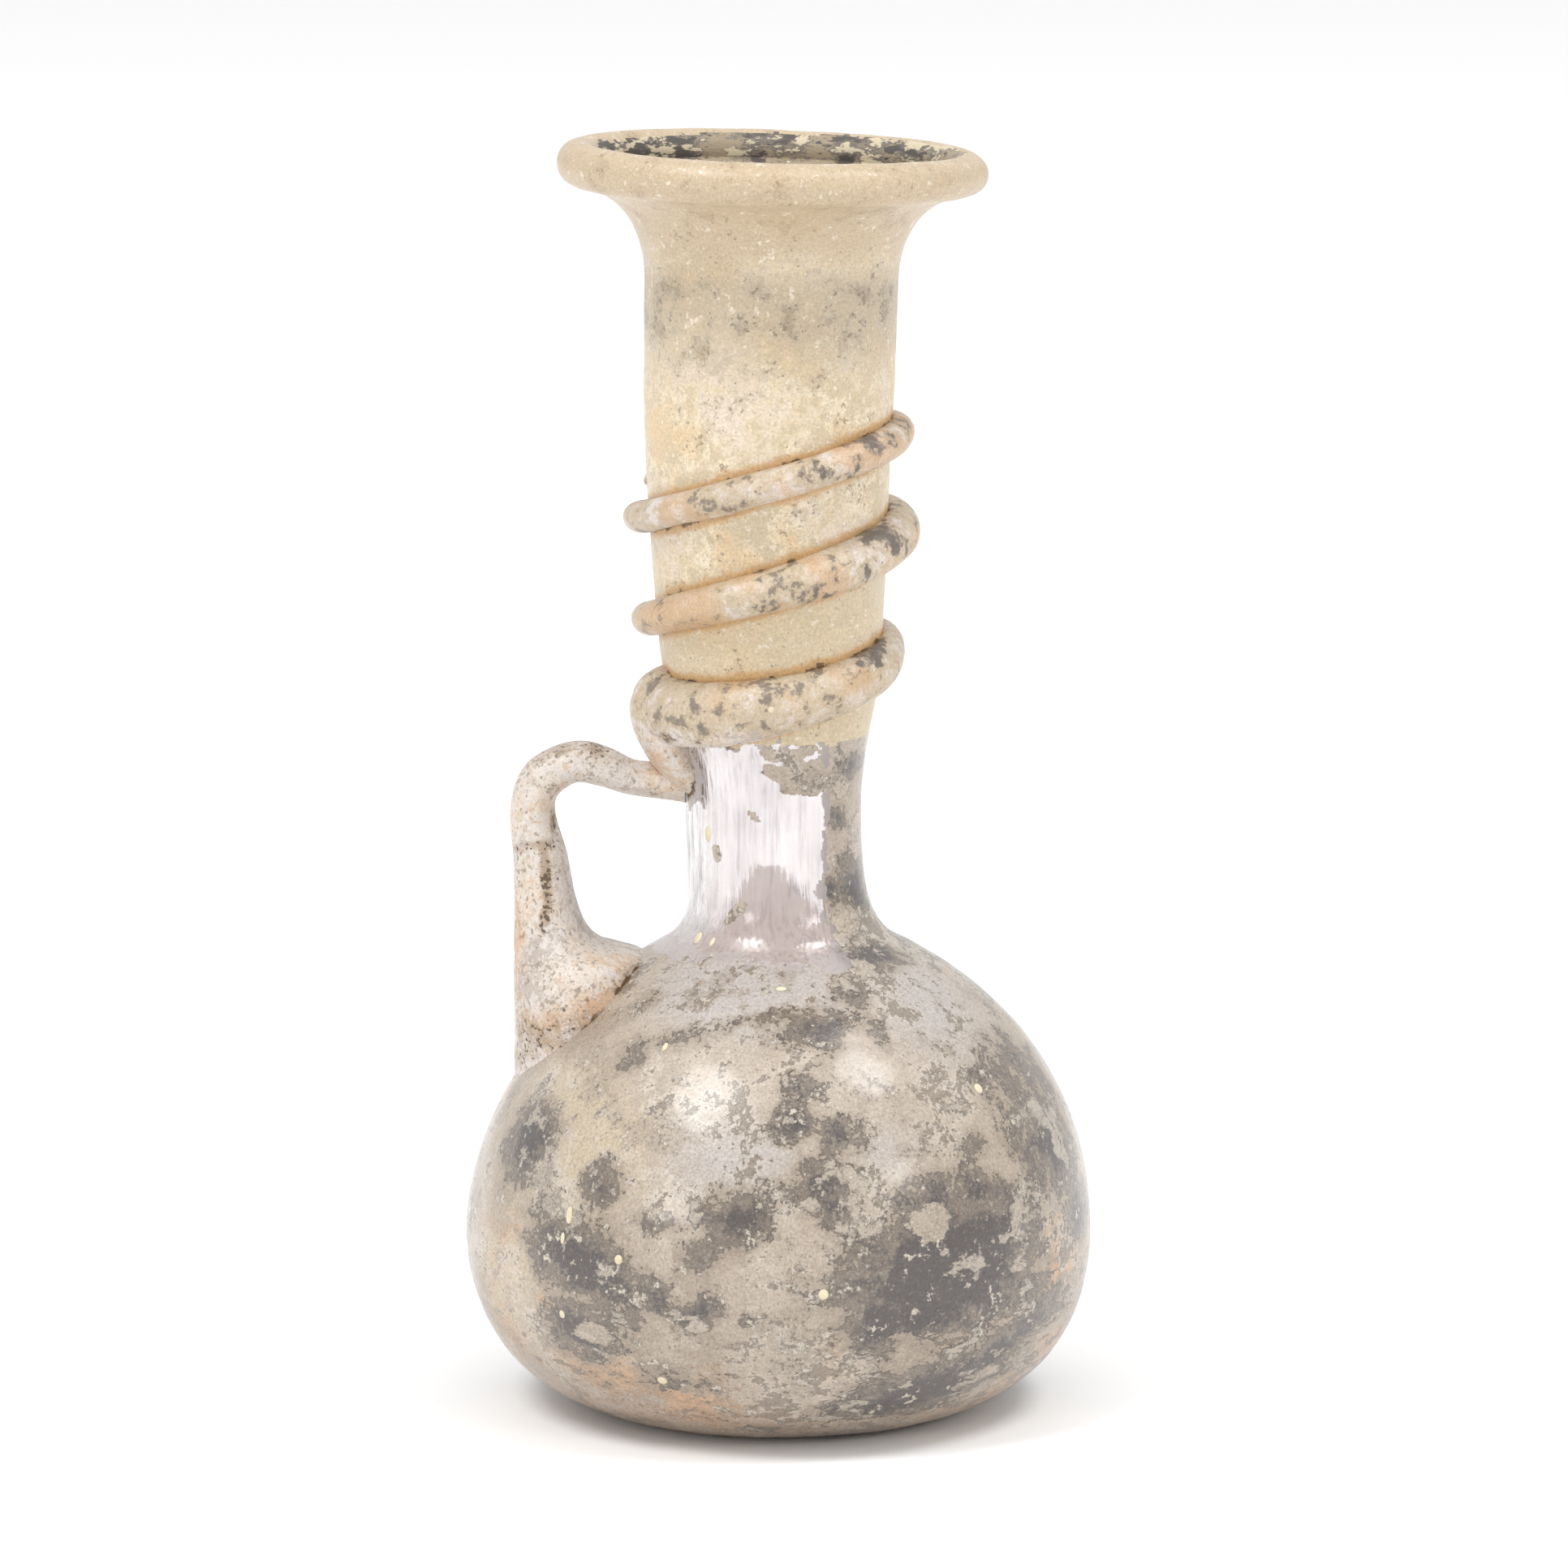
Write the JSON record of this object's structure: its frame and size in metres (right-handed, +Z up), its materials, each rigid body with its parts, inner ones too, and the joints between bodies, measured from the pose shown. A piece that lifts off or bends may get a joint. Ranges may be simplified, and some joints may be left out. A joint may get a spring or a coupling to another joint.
{
  "type": "glass perfume flask",
  "caption": "Small free-blown glass flask with a squat round body, a tall neck with a rolled rim, a strap handle and a thread of glass wound round the neck.",
  "frame": {"origin": "middle of the ring that the flask stands on, at the level of the table", "axes": "+Z up along the neck, the handle on the -X side, the front that the picture shows towards -Y"},
  "size_m": [0.0598, 0.0598, 0.1206],
  "materials": {
    "weathered_glass": "free-blown colourless glass under cream, beige and slate-grey weathering, satin to matte, clear in a window low on the neck"
  },
  "bodies": {
    "root": {"flask": "weathered_glass"}
  },
  "joints": []
}
